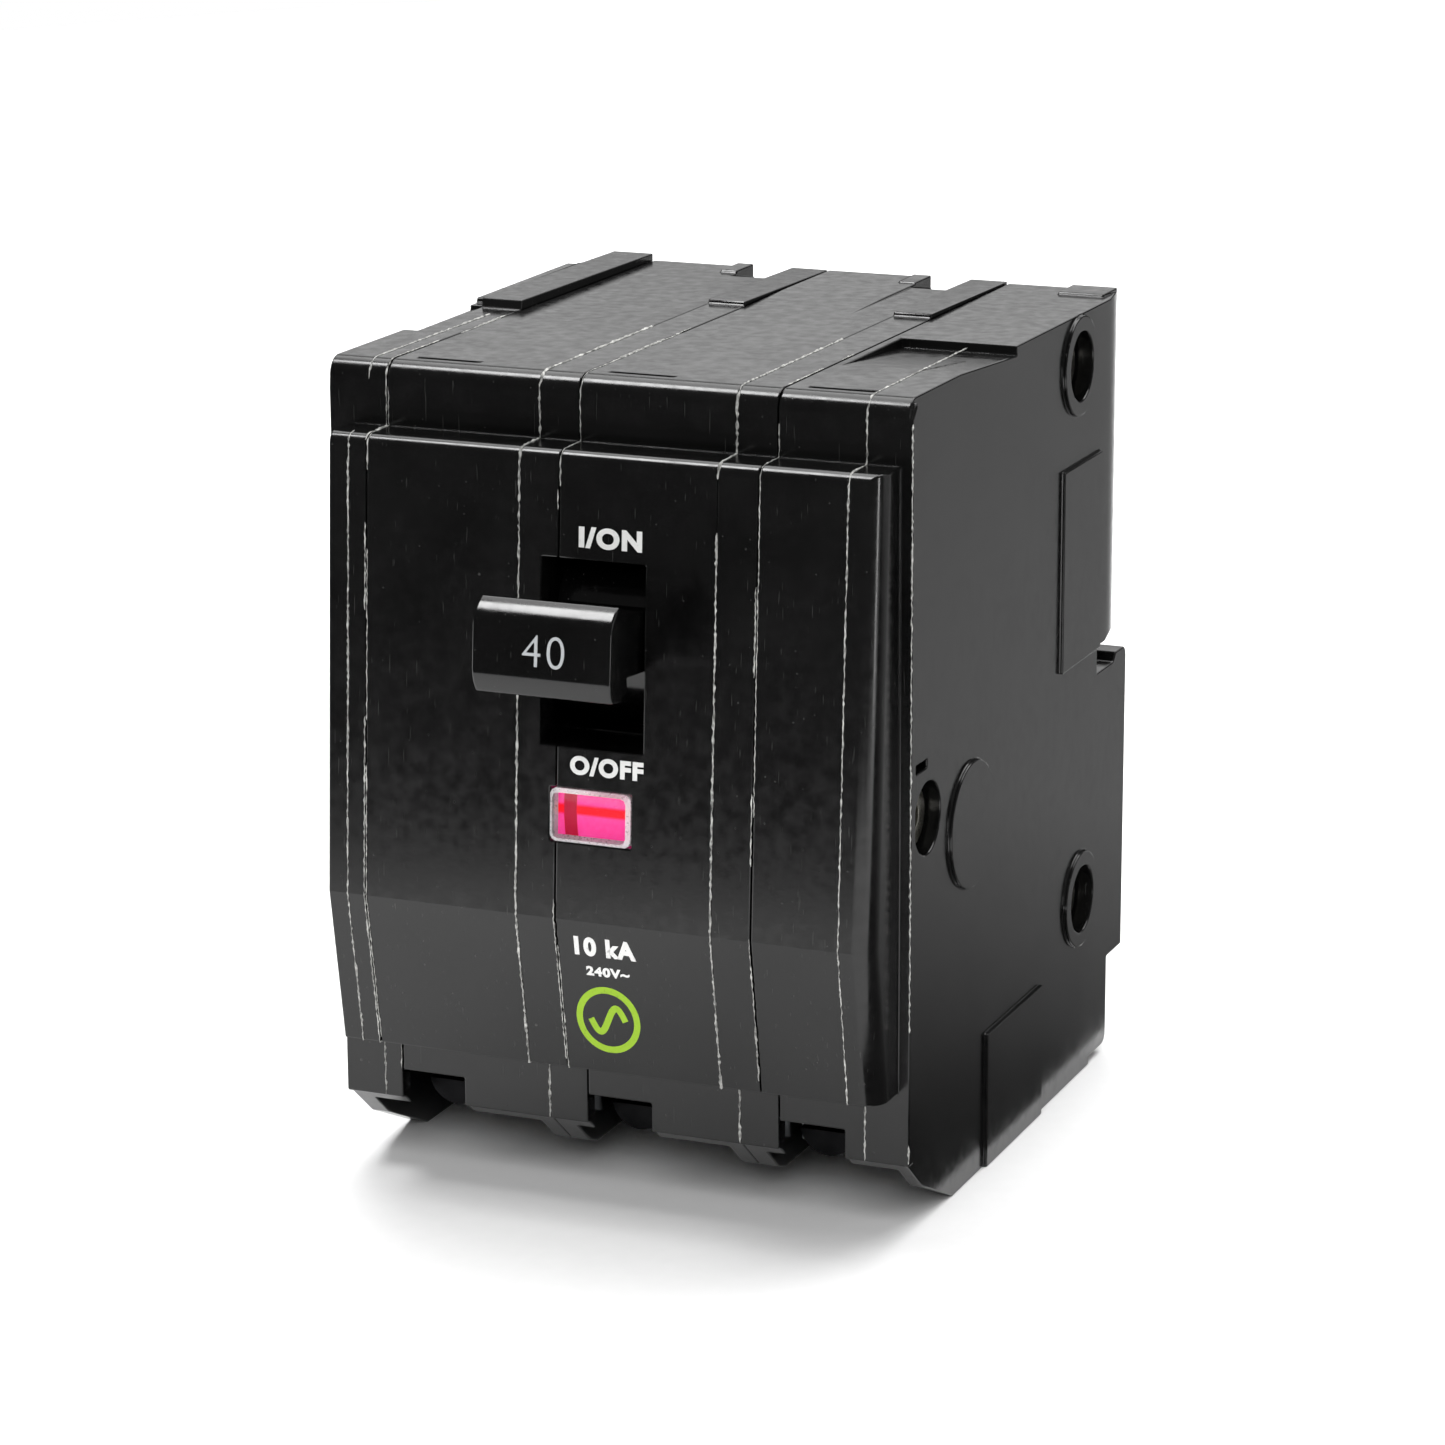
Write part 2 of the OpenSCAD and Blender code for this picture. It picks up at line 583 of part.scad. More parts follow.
// Tubular rivets that hold the shells together
module case_rivets() {
    color("#c9cacb") for (p = rivet_at) difference() {
        union() {
            rod(rivet_sink, case_w - rivet_sink, p[0], p[1], rivet_r);
            rod(rivet_sink - 0.7, rivet_sink, p[0], p[1], 2.8);
            rod(case_w - rivet_sink, case_w - rivet_sink + 0.7, p[0], p[1], 2.8);
        }
        rod(rivet_sink - 2, rivet_sink + 3, p[0], p[1], 1.15);
        rod(case_w - rivet_sink - 3, case_w - rivet_sink + 2, p[0], p[1], 1.15);
    }
}

for (k = poles) place() {
    base(k);
    cover(k);
    line_jaw(k);
    contact_arm(k);
    arc_plates(k);
    bimetal(k);
    load_strap(k);
    magnet_yoke(k);
    armature(k);
    braid(k);
    wire_lug(k);
    clamp_plate(k);
    clamp_screw(k);
}
place() {
    fixed_contacts();
    moving_contacts();
    handle();
    handle_pin();
    crossbar();
    toggle_spring();
    cradle();
    trip_flag();
    trip_bar();
    trip_spring();
    lens();
    case_rivets();
}
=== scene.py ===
"""Looks of a three-pole plug-on circuit breaker, built round its CAD frame."""
import json
import math
import random

import bpy
from mathutils import Matrix, Vector


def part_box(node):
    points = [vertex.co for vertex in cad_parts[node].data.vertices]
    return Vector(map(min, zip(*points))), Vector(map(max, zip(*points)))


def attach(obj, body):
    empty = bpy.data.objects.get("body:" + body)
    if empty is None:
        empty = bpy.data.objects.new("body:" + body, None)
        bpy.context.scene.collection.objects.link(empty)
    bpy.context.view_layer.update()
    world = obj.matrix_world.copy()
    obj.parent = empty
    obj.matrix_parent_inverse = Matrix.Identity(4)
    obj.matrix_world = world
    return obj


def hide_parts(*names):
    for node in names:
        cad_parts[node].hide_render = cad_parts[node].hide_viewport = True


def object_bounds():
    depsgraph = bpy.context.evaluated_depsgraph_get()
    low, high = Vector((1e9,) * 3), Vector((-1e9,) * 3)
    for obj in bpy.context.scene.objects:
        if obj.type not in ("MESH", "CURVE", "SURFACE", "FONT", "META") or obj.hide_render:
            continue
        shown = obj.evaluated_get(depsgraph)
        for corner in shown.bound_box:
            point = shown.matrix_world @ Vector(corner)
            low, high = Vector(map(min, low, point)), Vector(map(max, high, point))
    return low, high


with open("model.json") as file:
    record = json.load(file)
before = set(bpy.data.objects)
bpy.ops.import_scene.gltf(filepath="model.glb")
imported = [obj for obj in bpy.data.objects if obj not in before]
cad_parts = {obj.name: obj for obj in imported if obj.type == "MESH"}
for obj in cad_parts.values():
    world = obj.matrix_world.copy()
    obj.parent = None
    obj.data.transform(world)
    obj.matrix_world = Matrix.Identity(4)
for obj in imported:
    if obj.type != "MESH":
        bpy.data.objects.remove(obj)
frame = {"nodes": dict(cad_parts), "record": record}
cad_low, cad_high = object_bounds()

MM = 0.001
POLES = (1, 2, 3)

# ---------------------------------------------------------------- places
# Lengths in this section are in millimetres, from the lower left corner of the front band.
NOSE_CREST_REACH = 6.9
NOSE_TOP_REACH = 4.45
NOSE_LOW_REACH = 4.4
NOSE_CREST_Z = 22.1
NOSE_FACE_TOP_Z = 64.0
NOSE_TOP_Z = 65.1
NOSE_LOW_Z = 6.95
NOSE_ROUND = 1.1
BAND_TOP_FALL = 0.4
BAND_DEPTH = 61.5
SEAM_GAP = 0.12
FLAG_MIDDLE_Z = 31.95
FLAG_BAND = 0.6
# Painted shade on the flag: a stripe of deeper red near its left end, where the case shades it.
FLAG_PAINTED_SHADE_X = 1.35
FLAG_PAINTED_SHADE_HALF = 0.6
FLAG_PAINTED_SHADE_FADE = 0.1
PRINT_THICKNESS = 0.035
MARK_BOX = (26.5, 32.87, 9.05, 15.72)
SLOT_AND_WINDOW = ((28.6, 35.0), (37.9, 55.6))
FIRST_COVER_SEAM_X = 4.07
LAST_BASE_SEAM_X = 52.82
FLASH_LIFT = 0.02
FLASH_STEP = 0.3
FLASH_TOP_REACH = 26
FLASH_EDGE_STEPS = 230
MERGE_GAP = 0.03
CAP_FACE_Z = (47.5, 51.5)
CAP_FACE_Y = (-16.65, -16.3)
BAND_HEIGHT = 71.1
BAND_ROUND = 1.8
FOOT_DROP = 7.4
CORNER = Vector((cad_low.x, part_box("base_2")[0].y + NOSE_CREST_REACH * MM, cad_low.z + FOOT_DROP * MM))
UPPER_LEAN = (NOSE_CREST_REACH - NOSE_TOP_REACH) / (NOSE_FACE_TOP_Z - NOSE_CREST_Z)
LOWER_LEAN = (NOSE_CREST_REACH - NOSE_LOW_REACH) / (NOSE_CREST_Z - NOSE_LOW_Z)


def at(x, y, z):
    """A place on the breaker, given in millimetres, as a point of the frame."""
    return CORNER + Vector((x, y, z)) * MM


def nose_y(z):
    """Depth of the nose's skin at a height."""
    if z >= NOSE_CREST_Z:
        return -NOSE_TOP_REACH - (NOSE_FACE_TOP_Z - z) * UPPER_LEAN
    return -NOSE_CREST_REACH + (NOSE_CREST_Z - z) * LOWER_LEAN


def top_z(y):
    """Height of the falling top face at a depth."""
    return BAND_HEIGHT - BAND_TOP_FALL * (y - BAND_ROUND) / (BAND_DEPTH - BAND_ROUND)


def cap_y(z):
    """Depth of the handle cap's face at a height."""
    share = (z - CAP_FACE_Z[0]) / (CAP_FACE_Z[1] - CAP_FACE_Z[0])
    return CAP_FACE_Y[0] + share * (CAP_FACE_Y[1] - CAP_FACE_Y[0])


def left_of(node):
    return (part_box(node)[0].x - CORNER.x) / MM


def right_of(node):
    return (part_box(node)[1].x - CORNER.x) / MM


# ---------------------------------------------------------------- materials
def linear(hex_colour):
    """An sRGB hex colour as linear RGBA."""
    parts = [int(hex_colour[i:i + 2], 16) / 255 for i in (1, 3, 5)]
    return [c / 12.92 if c <= 0.04045 else ((c + 0.055) / 1.055) ** 2.4 for c in parts] + [1.0]


def per_mm(size):
    """Pattern scale that gives features of this size in millimetres."""
    return 1 / (size * MM)


def add(tree, kind, inputs=None, **settings):
    """Adds a node, sets its properties, and sets or links its inputs."""
    made = tree.nodes.new(kind)
    for name, value in settings.items():
        setattr(made, name, value)
    for socket, value in (inputs or {}).items():
        if isinstance(value, bpy.types.NodeSocket):
            tree.links.new(value, made.inputs[socket])
        else:
            made.inputs[socket].default_value = value
    return made


def new_material(name):
    """An empty material with its shader and its object coordinates."""
    material = bpy.data.materials.new(name)
    material.use_nodes = True
    tree = material.node_tree
    tree.nodes.clear()
    shader = add(tree, "ShaderNodeBsdfPrincipled")
    add(tree, "ShaderNodeOutputMaterial", {"Surface": shader.outputs["BSDF"]})
    place = add(tree, "ShaderNodeTexCoord").outputs["Object"]
    return material, tree, shader, place


def steps(tree, value, low, high, start=0.0, end=1.0):
    """Value spread from low..high to start..end, and held there beyond."""
    return add(tree, "ShaderNodeMapRange", {"Value": value, "From Min": low, "From Max": high,
                                            "To Min": start, "To Max": end}).outputs["Result"]


def blend_colour(tree, share, first, second):
    """Mixes two colours by a share."""
    mix = add(tree, "ShaderNodeMix", {"Factor": share}, data_type="RGBA")
    for socket, value in ((6, first), (7, second)):
        if isinstance(value, bpy.types.NodeSocket):
            tree.links.new(value, mix.inputs[socket])
        else:
            mix.inputs[socket].default_value = value
    return mix.outputs[2]


def specks(tree, place, spacing, size, share, seed):
    """Round specks of a size in millimetres, one in a share of the cells of a grid."""
    moved = add(tree, "ShaderNodeVectorMath", {0: place, 1: (seed, seed * 0.7, seed * 1.3)}, operation="ADD")
    cells = add(tree, "ShaderNodeTexVoronoi", {"Vector": moved.outputs[0], "Scale": per_mm(spacing)})
    reach = size / spacing / 2
    near = steps(tree, cells.outputs["Distance"], reach, reach * 0.6)
    chosen = add(tree, "ShaderNodeSeparateColor", {"Color": cells.outputs["Color"]}).outputs["Red"]
    kept = add(tree, "ShaderNodeMath", {0: chosen, 1: 1 - share}, operation="GREATER_THAN").outputs[0]
    return add(tree, "ShaderNodeMath", {0: near, 1: kept}, operation="MULTIPLY").outputs[0]


def scratches(tree, place, turn, length, width, level, seed):
    """Fine straight scratches, long in one direction, where a stretched noise passes a level."""
    mapped = add(tree, "ShaderNodeMapping", {"Vector": place, "Rotation": turn, "Location": (seed, 0, 0),
                                             "Scale": (per_mm(width), per_mm(width), per_mm(length))})
    streak = add(tree, "ShaderNodeTexNoise", {"Vector": mapped.outputs["Vector"],
                                              "Scale": 1.0, "Detail": 1.0})
    return steps(tree, streak.outputs["Fac"], level, level + 0.03)


def phenolic(name, black, dusty, gloss, dull):
    """A dark moulded plastic such as phenolic: smooth from the polished tool, with mould-release haze,
    handling dust and fine scratches."""
    material, tree, shader, place = new_material(name)
    haze = add(tree, "ShaderNodeTexNoise", {"Vector": place, "Scale": per_mm(9), "Detail": 4.0})
    mottle = add(tree, "ShaderNodeTexNoise", {"Vector": place, "Scale": per_mm(1.2), "Detail": 3.0})
    body = blend_colour(tree, steps(tree, haze.outputs["Fac"], 0.35, 0.7), linear(black), linear(dusty))
    fine = specks(tree, place, 0.9, 0.16, 0.32, 0.0)
    coarse = specks(tree, place, 2.6, 0.3, 0.2, 0.37)
    dust = add(tree, "ShaderNodeMath", {0: fine, 1: coarse}, operation="MAXIMUM").outputs[0]
    faint = add(tree, "ShaderNodeMath", {0: dust, 1: mottle.outputs["Fac"]}, operation="MULTIPLY").outputs[0]
    with_dust = blend_colour(tree, steps(tree, faint, 0.0, 1.0, 0.0, 0.5), body, linear("#767674"))
    marks = scratches(tree, place, (0.5, 0.3, 0.2), 5.0, 0.16, 0.735, 3.0)
    scratched = blend_colour(tree, steps(tree, marks, 0, 1, 0, 0.25), with_dust, linear("#5a5a58"))
    tree.links.new(scratched, shader.inputs["Base Color"])
    rough = steps(tree, mottle.outputs["Fac"], 0.3, 0.7, gloss, dull)
    tree.links.new(rough, shader.inputs["Roughness"])
    skin = add(tree, "ShaderNodeTexNoise", {"Vector": place, "Scale": per_mm(0.5), "Detail": 3.0})
    height = add(tree, "ShaderNodeMath", {0: skin.outputs["Fac"], 1: dust}, operation="ADD")
    bump = add(tree, "ShaderNodeBump", {"Height": height.outputs[0], "Strength": 0.2, "Distance": 0.00001})
    tree.links.new(bump.outputs["Normal"], shader.inputs["Normal"])
    shader.inputs["IOR"].default_value = 1.5
    return material


def metal(name, colour, worn, gloss, dull, grain, brushed=True):
    """A metal with a fine grain, drawn along X when brushed, and patches of tarnish."""
    material, tree, shader, place = new_material(name)
    shader.inputs["Metallic"].default_value = 1.0
    stretch = (per_mm(grain * 12), per_mm(grain), per_mm(grain)) if brushed else (per_mm(grain),) * 3
    mapped = add(tree, "ShaderNodeMapping", {"Vector": place, "Scale": stretch})
    lines = add(tree, "ShaderNodeTexNoise", {"Vector": mapped.outputs["Vector"], "Scale": 1.0, "Detail": 3.0})
    patches = add(tree, "ShaderNodeTexNoise", {"Vector": place, "Scale": per_mm(3), "Detail": 4.0})
    tone = blend_colour(tree, steps(tree, patches.outputs["Fac"], 0.4, 0.7), linear(colour), linear(worn))
    tree.links.new(tone, shader.inputs["Base Color"])
    tree.links.new(steps(tree, lines.outputs["Fac"], 0.3, 0.7, gloss, dull), shader.inputs["Roughness"])
    bump = add(tree, "ShaderNodeBump", {"Height": lines.outputs["Fac"], "Strength": 0.3,
                                        "Distance": 0.00001})
    tree.links.new(bump.outputs["Normal"], shader.inputs["Normal"])
    return material


def ink(name, colour, thin):
    """Pad-printed ink: a dull even film that is a little thin in places."""
    material, tree, shader, place = new_material(name)
    cover = add(tree, "ShaderNodeTexNoise", {"Vector": place, "Scale": per_mm(0.35), "Detail": 2.0})
    tone = blend_colour(tree, steps(tree, cover.outputs["Fac"], 0.62, 0.8), linear(colour), linear(thin))
    tree.links.new(tone, shader.inputs["Base Color"])
    shader.inputs["Roughness"].default_value = 0.6
    return material


def torn_flash_and_painted_highlight():
    """Mould flash: a thin torn edge that scatters light, so it looks pale grey. The pale grey also stands for
    the edge highlights along the seams, so it is partly a painted highlight.
    """
    material, tree, shader, place = new_material("torn_mould_flash_and_painted_highlight")
    bits = add(tree, "ShaderNodeTexNoise", {"Vector": place, "Scale": per_mm(0.5), "Detail": 3.0})
    share = steps(tree, bits.outputs["Fac"], 0.35, 0.65)
    # Partly painted highlight: the pale tone is whitened torn flash, and it also stands for the seams' edge
    # highlights.
    tone = blend_colour(tree, share, linear("#6a6a68"), linear("#d0d0cc"))
    tree.links.new(tone, shader.inputs["Base Color"])
    shader.inputs["Roughness"].default_value = 0.7
    return material


def signal_red():
    """Fluorescent signal plastic: pink, with a pure red core across the middle, and a stripe of deeper
    red near its left end, which is painted shade where the case shades it. Its colour is also its emission,
    which is a painted glow."""
    material, tree, shader, place = new_material("fluorescent_red_plastic_painted_glow")
    axes = add(tree, "ShaderNodeSeparateXYZ", {"Vector": place})
    grain = add(tree, "ShaderNodeTexNoise", {"Vector": place, "Scale": per_mm(0.4), "Detail": 2.0})
    pink = blend_colour(tree, grain.outputs["Fac"], linear("#e52f80"), linear("#f24a98"))
    middle_z = at(0, 0, FLAG_MIDDLE_Z).z
    middle = add(tree, "ShaderNodeMath", {0: axes.outputs["Z"], 1: middle_z}, operation="SUBTRACT")
    off = add(tree, "ShaderNodeMath", {0: middle.outputs[0]}, operation="ABSOLUTE").outputs[0]
    band = steps(tree, off, FLAG_BAND * MM, FLAG_BAND * 0.5 * MM)
    banded = blend_colour(tree, band, pink, linear("#f5081c"))
    # Painted shade: a stripe of deeper red near the flag's left end, where the case shades it.
    painted_shade_x = at(left_of("lens") + FLAG_PAINTED_SHADE_X, 0, 0).x
    along = add(tree, "ShaderNodeMath", {0: axes.outputs["X"], 1: painted_shade_x}, operation="SUBTRACT").outputs[0]
    aside = add(tree, "ShaderNodeMath", {0: along}, operation="ABSOLUTE").outputs[0]
    shade = steps(tree, aside, (FLAG_PAINTED_SHADE_HALF + FLAG_PAINTED_SHADE_FADE) * MM, FLAG_PAINTED_SHADE_HALF * MM)
    tone = blend_colour(tree, shade, banded, linear("#a90c30"))
    tree.links.new(tone, shader.inputs["Base Color"])
    # Painted glow: the flag's colour is also fed to emission, so the flag shines though it is no lamp.
    tree.links.new(tone, shader.inputs["Emission Color"])
    shader.inputs["Roughness"].default_value = 0.45
    shader.inputs["Emission Strength"].default_value = 1.0
    return material


def frosted_acrylic():
    """Ground rim of the acrylic window: scatters light, so it looks milky white."""
    material, tree, shader, place = new_material("frosted_acrylic")
    grain = add(tree, "ShaderNodeTexNoise", {"Vector": place, "Scale": per_mm(0.3), "Detail": 3.0})
    tone = blend_colour(tree, grain.outputs["Fac"], linear("#b9bcbd"), linear("#f4f5f5"))
    tree.links.new(tone, shader.inputs["Base Color"])
    tree.links.new(steps(tree, grain.outputs["Fac"], 0.3, 0.7, 0.2, 0.5), shader.inputs["Roughness"])
    shader.inputs["Transmission Weight"].default_value = 0.25
    shader.inputs["IOR"].default_value = 1.49
    return material


def clear_acrylic():
    """Clear acrylic moulding, polished: glassy, with a faint haze."""
    material, tree, shader, place = new_material("clear_acrylic")
    haze = add(tree, "ShaderNodeTexNoise", {"Vector": place, "Scale": per_mm(0.8), "Detail": 2.0})
    tree.links.new(steps(tree, haze.outputs["Fac"], 0.3, 0.7, 0.02, 0.07), shader.inputs["Roughness"])
    shader.inputs["Base Color"].default_value = linear("#fbfdff")
    shader.inputs["Transmission Weight"].default_value = 1.0
    shader.inputs["IOR"].default_value = 1.49
    return material


MATERIALS = {
    "case_black": phenolic("moulded_phenolic", "#060606", "#101010", 0.13, 0.24),
    "handle_black": phenolic("moulded_nylon", "#040404", "#090909", 0.1, 0.18),
    "bar_plastic": phenolic("glass_filled_polyester", "#26262a", "#36363a", 0.45, 0.6),
    "lens_clear": clear_acrylic(),
    "flag_red": signal_red(),
    "tinned_copper": metal("tin_plated_copper", "#c9c8c2", "#a3a29c", 0.28, 0.45, 0.08),
    "copper": metal("rolled_copper", "#c9835a", "#8f5636", 0.25, 0.45, 0.08),
    "silver_contact": metal("silver_alloy", "#dcdcd6", "#b8b8b0", 0.25, 0.4, 0.05, brushed=False),
    "steel": metal("zinc_plated_steel", "#a8abb0", "#84878c", 0.3, 0.5, 0.1),
    "bimetal": metal("rolled_bimetal", "#a89f8a", "#857c68", 0.3, 0.45, 0.08),
    "lug_metal": metal("tin_plated_aluminium", "#c4c7ca", "#9ea1a5", 0.3, 0.48, 0.12),
    "plate_brass": metal("pressed_brass", "#cdb06a", "#9c8248", 0.28, 0.42, 0.08),
    # Painted shade: the clamp screws are made near black to stand for the deep shade in the front notches.
    "screw_black": metal("near_black_steel_painted_shade", "#1a1a1b", "#0e0e0f", 0.35, 0.5, 0.1, brushed=False),
    "rivet_steel": metal("nickel_plated_steel", "#d8d6cc", "#b0ada0", 0.2, 0.36, 0.05, brushed=False),
}
SLOT_OF = {row["node"]: row["material_slot"] for row in frame["record"]["subparts"]}
BODY_OF = {node: body for body, members in frame["record"]["behaviour"]["bodies"].items() for node in members}
WHITE_INK = ink("white_pad_print", "#f2f2f0", "#cfcfcd")
GREY_INK = ink("grey_pad_print", "#b9bcbe", "#8f9294")
GREEN_INK = ink("green_pad_print", "#9cc52a", "#7fa522")
FLASH_AND_HIGHLIGHT = torn_flash_and_painted_highlight()
FROSTED = frosted_acrylic()

for name, node in frame["nodes"].items():
    node.data.materials.clear()
    node.data.materials.append(MATERIALS[SLOT_OF[name]])


# ---------------------------------------------------------------- making pieces
def select_only(piece):
    """Makes one object the only selected and active one."""
    bpy.ops.object.select_all(action="DESELECT")
    piece.select_set(True)
    bpy.context.view_layer.objects.active = piece


def settle(piece):
    """Puts a piece's place into its mesh."""
    piece.data.transform(piece.matrix_world)
    piece.matrix_world = Matrix.Identity(4)
    return piece


def apply_modifier(piece, kind, **settings):
    """Adds a modifier and applies it."""
    select_only(piece)
    modifier = piece.modifiers.new(kind.lower(), kind)
    for name, value in settings.items():
        setattr(modifier, name, value)
    bpy.ops.object.modifier_apply(modifier=modifier.name)


def hand_over(piece, material, body, *stands_for, slot=None, smooth=30):
    """Gives a finished piece its material and its body, and hides the nodes it stands for."""
    piece.data.materials.clear()
    piece.data.materials.append(material)
    select_only(piece)
    bpy.ops.object.shade_smooth_by_angle(angle=math.radians(smooth))
    apply_modifier(piece, "WEIGHTED_NORMAL", keep_sharp=True)
    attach(piece, body)
    if stands_for:
        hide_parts(*stands_for)
    return piece


def softened(node, name, radius, limit=35, segments=2, smooth=30):
    """A copy of a CAD node with its triangles merged into faces and its edges rounded."""
    piece = bpy.data.objects.new(name, frame["nodes"][node].data.copy())
    bpy.context.scene.collection.objects.link(piece)
    select_only(piece)
    bpy.ops.object.mode_set(mode="EDIT")
    bpy.ops.mesh.customdata_custom_splitnormals_clear()
    bpy.ops.mesh.select_all(action="SELECT")
    bpy.ops.mesh.remove_doubles(threshold=MERGE_GAP * MM)
    bpy.ops.mesh.dissolve_limited(angle_limit=math.radians(0.5))
    bpy.ops.object.mode_set(mode="OBJECT")
    apply_modifier(piece, "BEVEL", width=radius * MM, segments=segments, limit_method="ANGLE",
                   angle_limit=math.radians(limit), use_clamp_overlap=False, miter_outer="MITER_ARC")
    return hand_over(piece, MATERIALS[SLOT_OF[node]], BODY_OF[node], node, slot=SLOT_OF[node], smooth=smooth)


# ---------------------------------------------------------------- camera, floor and light
CAMERA_PLACE = Vector((169.84, -405.97, 159.61)) * MM
CAMERA_AIM = Vector((10.37, -23.44, 47.62)) * MM
CAMERA_ROLL = math.radians(-0.27)
CAMERA_LENS = 118.4
# In metres on the ground: the pale floor, and the grey card with the depth over which it lightens
FLOOR_RADIUS = 0.62
FLOOR_DEPTH = 0.43
CARD_PLACE = (0.23, 0.26, 0.0004)
CARD_SIZE = (0.4, 0.64, 1)
CARD_FADE = 0.12


def make_camera():
    data = bpy.data.cameras.new("camera")
    data.lens = CAMERA_LENS
    data.clip_start = 0.01
    data.clip_end = 20
    camera = bpy.data.objects.new("camera", data)
    bpy.context.scene.collection.objects.link(camera)
    look = (CAMERA_AIM - CAMERA_PLACE).to_track_quat("-Z", "Y")
    roll = Matrix.Rotation(CAMERA_ROLL, 4, "Z")
    camera.matrix_world = Matrix.Translation(CAMERA_PLACE) @ look.to_matrix().to_4x4() @ roll
    bpy.context.scene.camera = camera


def softbox(name, place, aim, width, height, power, spread=180):
    """A rectangular studio light."""
    data = bpy.data.lights.new(name, "AREA")
    data.shape = "RECTANGLE"
    data.size = width
    data.size_y = height
    data.energy = power
    data.spread = math.radians(spread)
    light = bpy.data.objects.new(name, data)
    bpy.context.scene.collection.objects.link(light)
    place = Vector(place)
    look = (Vector(aim) - place).to_track_quat("-Z", "Y")
    light.matrix_world = Matrix.Translation(place) @ look.to_matrix().to_4x4()
    light.visible_camera = False
    return light


def grey_card():
    """A grey card laid behind the right side, which the glossy side mirrors in place of white paper."""
    bpy.ops.mesh.primitive_plane_add(size=1, location=CARD_PLACE)
    card = bpy.context.object
    card.name = "grey_card"
    card.scale = CARD_SIZE
    bpy.ops.object.transform_apply(location=True, rotation=False, scale=True)
    card.visible_camera = False
    card.visible_diffuse = False
    card.visible_shadow = False
    material, tree, shader, place = new_material("grey_card")
    depth = add(tree, "ShaderNodeSeparateXYZ", {"Vector": place}).outputs["Y"]
    tone = blend_colour(tree, steps(tree, depth, 0.0, CARD_FADE), linear("#242424"), linear("#7c7c7c"))
    tree.links.new(tone, shader.inputs["Base Color"])
    shader.inputs["Roughness"].default_value = 0.9
    card.data.materials.append(material)


def make_studio():
    scene = bpy.context.scene
    scene.view_settings.view_transform = "Standard"
    world = bpy.data.worlds.new("studio")
    scene.world = world
    world.use_nodes = True
    tree = world.node_tree
    tree.nodes.clear()
    path = add(tree, "ShaderNodeLightPath")
    seen = add(tree, "ShaderNodeBackground", {"Color": (1, 1, 1, 1), "Strength": 1.0})
    dim = add(tree, "ShaderNodeBackground", {"Color": (1, 1, 1, 1), "Strength": 0.1})
    mix = add(tree, "ShaderNodeMixShader", {0: path.outputs["Is Camera Ray"],
                                            1: dim.outputs[0], 2: seen.outputs[0]})
    add(tree, "ShaderNodeOutputWorld", {"Surface": mix.outputs[0]})
    bpy.ops.mesh.primitive_circle_add(vertices=96, radius=FLOOR_RADIUS, fill_type="NGON",
                                      location=(0, FLOOR_DEPTH, 0))
    floor = settle(bpy.context.object)
    floor.name = "floor"
    material, tree, shader, place = new_material("pale_paper_sweep")
    grain = add(tree, "ShaderNodeTexNoise", {"Vector": place, "Scale": per_mm(2), "Detail": 2.0})
    tone = blend_colour(tree, grain.outputs["Fac"], linear("#f4f4f4"), linear("#f8f8f8"))
    tree.links.new(tone, shader.inputs["Base Color"])
    shader.inputs["Roughness"].default_value = 0.9
    shader.inputs["Specular IOR Level"].default_value = 0.0
    floor.data.materials.append(material)
    grey_card()
    middle = (0, 0, 0.04)
    softbox("top_softbox", (-0.1, 0.35, 0.9), middle, 0.8, 0.8, 6.5)
    softbox("back_softbox", (-0.45, 0.9, 0.45), middle, 1.0, 0.5, 1.25)
    softbox("right_softbox", (0.75, 0.1, 0.35), middle, 0.5, 0.6, 0.8)
    softbox("brow_strip", (-0.34, -0.14, 0.86), middle, 0.3, 0.16, 2.6)
    softbox("corner_strip", (0.27, -0.12, 0.004), (0.03, -0.03, 0.06), 0.03, 0.14, 0.12)
    # Two lights that whiten the floor and the prints and are kept out of the glossy skin
    fills = (("floor_fill", (0.05, 0.45, 0.9), 1.2, 11), ("front_fill", (0.2, -0.7, 0.6), 0.6, 5))
    for name, place, width, power in fills:
        softbox(name, place, (0, 0.1, 0.0), width, width, power).visible_glossy = False


make_camera()
make_studio()


# ---------------------------------------------------------------- case shells
# Below the bend at the nose's crest, so that the crest stays a crease, and above the steps of the round edges
CREASE = 12.2
# Cosine to the window's front, below which a face is part of the ground rim
FACING = 0.97
for k in POLES:
    softened(f"cover_{k}", f"cover_moulding_{k}", 0.14, smooth=CREASE)
    softened(f"base_{k}", f"base_moulding_{k}", 0.14, smooth=CREASE)
softened("handle", "handle_moulding", 0.25, segments=3)
window = softened("lens", "lens_moulding", 0.5, limit=50, segments=2)
window.data.materials.append(FROSTED)
outward = Vector((0, -1, UPPER_LEAN)).normalized()
for face in window.data.polygons:
    if abs(face.normal.dot(outward)) < FACING:
        face.material_index = 1
softened("case_rivets", "rivet_set", 0.12)
for k in POLES:
    softened(f"line_jaw_{k}", f"line_jaw_pressing_{k}", 0.12)
    softened(f"wire_lug_{k}", f"wire_lug_block_{k}", 0.2)
    softened(f"clamp_screw_{k}", f"clamp_screw_turned_{k}", 0.12)


# ---------------------------------------------------------------- seams
def walk(points, step):
    """Places along a polyline at even steps."""
    places = []
    for start, end in zip(points, points[1:]):
        start, end = Vector(start), Vector(end)
        count = max(1, int((end - start).length / step))
        places += [start.lerp(end, i / count) for i in range(count)]
    return places + [Vector(points[-1])]


